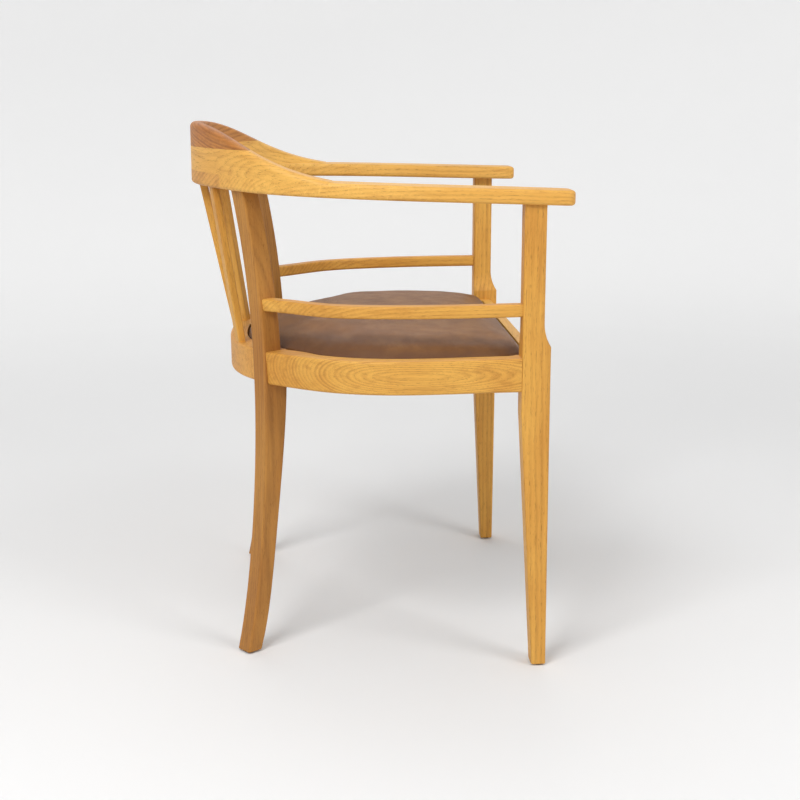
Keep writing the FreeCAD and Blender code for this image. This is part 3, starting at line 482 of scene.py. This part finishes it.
def seat_solid():
    """Cover, foam and board of the seat as one evenly meshed solid."""
    shape = bmesh.new()
    for node in ("seat_cover", "seat_foam", "seat_board"):
        shape.from_mesh(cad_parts[node].data)
    mesh = bpy.data.meshes.new("leather_cushion")
    shape.to_mesh(mesh)
    shape.free()
    cushion = bpy.data.objects.new("leather_cushion", mesh)
    scene.collection.objects.link(cushion)
    remesh = cushion.modifiers.new("remesh", "REMESH")
    remesh.mode = "VOXEL"
    remesh.voxel_size = VOXEL
    settle(cushion)
    keep_largest_part(cushion.data)
    return cushion


def swell(cushion):
    """Blow the cushion up a little, as cloth that is held below the tops of the rails."""
    rest = [vert.co.copy() for vert in cushion.data.vertices]
    cloth = cushion.modifiers.new("cloth", "CLOTH")
    for key, value in CLOTH.items():
        setattr(cloth.settings, key, value)
    cloth.settings.vertex_group_mass = "fixed"
    cloth.settings.effector_weights.gravity = 0
    for step in range(1, CLOTH_FRAMES + 1):
        scene.frame_set(step)
    settle(cushion)
    for vert, before in zip(cushion.data.vertices, rest):
        move = vert.co - before
        if move.length > MOST_SWELL:
            move *= MOST_SWELL / move.length
        vert.co = before + move


def leather_cushion():
    """The seat as hide stretched over foam."""
    cushion = seat_solid()
    fixed = cushion.vertex_groups.new(name="fixed")
    free = cushion.vertex_groups.new(name="free")
    for vert in cushion.data.vertices:
        above = min(max(over_rail(vert.co) / FREE_ABOVE, 0.0), 1.0)
        fixed.add([vert.index], 1.0 if above == 0.0 else 0.0, "REPLACE")
        free.add([vert.index], above, "REPLACE")
    swell(cushion)
    smooth = cushion.modifiers.new("smooth", "SMOOTH")
    smooth.iterations = SMOOTHINGS
    smooth.factor = 0.5
    smooth.vertex_group = "free"
    finer = cushion.modifiers.new("finer", "SUBSURF")
    finer.levels = 1
    settle(cushion)
    cushion.data.shade_smooth()
    cushion.data.materials.append(hide)
    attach(cushion, "root")
    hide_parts("seat_cover", "seat_foam")
    scene.frame_set(1)


leather_cushion()

# The camera that fits the photo, with its turns in radians.
SENSOR_WIDTH = 36
LENS = 64.26
CAMERA_PLACE = (-2.2386, 0.1021, 0.8244)
CAMERA_YAW = 0.0684
CAMERA_PITCH = 0.2170

# The studio floor is flat as far as its reach, then curves up to a wall.
FLOOR_MIDDLE = 2.0
FLOOR_REACH = 3.4
COVE_RADIUS = 1.4
COVE_STEPS = 8
WALL_TOP = 5.0
FLOOR_SIDES = 48

# Glow of the paper: the distance where it starts, the distance where it is full, its strength.
NEAR_GLOW = (0.5, 1.2, 0.02)
FAR_GLOW = (1.2, 4.2, 0.23)
WORLD_LIGHT = 0.55


def camera():
    data = bpy.data.cameras.new("camera")
    data.sensor_width = SENSOR_WIDTH
    data.lens = LENS
    holder = bpy.data.objects.new("camera", data)
    level = math.cos(CAMERA_PITCH)
    forward = Vector((math.cos(CAMERA_YAW) * level, -math.sin(CAMERA_YAW) * level, -math.sin(CAMERA_PITCH)))
    right = forward.cross(Vector(UPRIGHT)).normalized()
    up = right.cross(forward)
    turn = Matrix((right, up, -forward)).transposed()
    holder.matrix_world = Matrix.Translation(CAMERA_PLACE) @ turn.to_4x4()
    scene.collection.objects.link(holder)
    scene.camera = holder


def lamp(name, place, aim, side, power):
    """A square lamp that faces its aim."""
    data = bpy.data.lights.new(name, "AREA")
    data.shape = "SQUARE"
    data.size = side
    data.energy = power
    holder = bpy.data.objects.new(name, data)
    holder.location = place
    holder.rotation_euler = (Vector(aim) - Vector(place)).to_track_quat("-Z", "Y").to_euler()
    scene.collection.objects.link(holder)


def paper():
    """Pale paper that glows away from the chair, where the eye or a reflection sees it."""
    finish = Finish("studio_paper")
    place = finish.place()
    seen = sum(finish.node("ShaderNodeLightPath", {}, {}, ray)
               for ray in ("Is Camera Ray", "Is Glossy Ray", "Is Transmission Ray"))
    distance = (finish.along(place, CROSSWAYS) ** 2.0 + finish.along(place, DEPTHWAYS) ** 2.0) ** 0.5
    zones = (NEAR_GLOW, FAR_GLOW)
    glow = sum(distance.clipped(start, full) * strength for start, full, strength in zones) * seen
    return finish.surface(Base_Color=tint(236, 236, 236), Roughness=0.9,
                          Emission_Color=finish.vector(glow, glow, glow), Emission_Strength=1.0)


def sweep():
    """Pale floor that curves up into a backdrop all round."""
    bends = [step * math.pi / 2 / COVE_STEPS for step in range(1, COVE_STEPS + 1)]
    profile = [(FLOOR_MIDDLE, 0.0), (FLOOR_REACH, 0.0)]
    profile += [(FLOOR_REACH + COVE_RADIUS * math.sin(bend), COVE_RADIUS - COVE_RADIUS * math.cos(bend))
                for bend in bends]
    profile.append((FLOOR_REACH + COVE_RADIUS, WALL_TOP))
    shape = bmesh.new()
    rows = []
    for reach, height in profile:
        row = []
        for step in range(FLOOR_SIDES):
            turn = step * math.tau / FLOOR_SIDES
            row.append(shape.verts.new((reach * math.cos(turn), reach * math.sin(turn), height)))
        rows.append(row)
    shape.faces.new(rows[0])
    for lower, upper in zip(rows, rows[1:]):
        for step in range(FLOOR_SIDES):
            after = (step + 1) % FLOOR_SIDES
            shape.faces.new((lower[step], upper[step], upper[after], lower[after]))
    mesh = bpy.data.meshes.new("studio_floor")
    shape.to_mesh(mesh)
    shape.free()
    mesh.shade_smooth()
    mesh.materials.append(paper())
    floor = bpy.data.objects.new("studio_floor", mesh)
    scene.collection.objects.link(floor)


def even_light():
    """White light from all round."""
    world = bpy.data.worlds.new("studio_light")
    scene.world = world
    world.use_nodes = True
    background = world.node_tree.nodes["Background"]
    background.inputs["Color"].default_value = WHITE
    background.inputs["Strength"].default_value = WORLD_LIGHT


camera()
sweep()
lamp("key", place=(-2.0, 1.2, 2.6), aim=(-0.1, 0.0, 0.3), side=1.3, power=54)
lamp("fill", place=(-1.7, -1.9, 2.0), aim=(0, 0, 0.4), side=1.0, power=20)
lamp("back", place=(2.4, 0.4, 3.0), aim=(0.2, 0, 0.5), side=2.6, power=22)
even_light()
scene.view_settings.view_transform = "Standard"
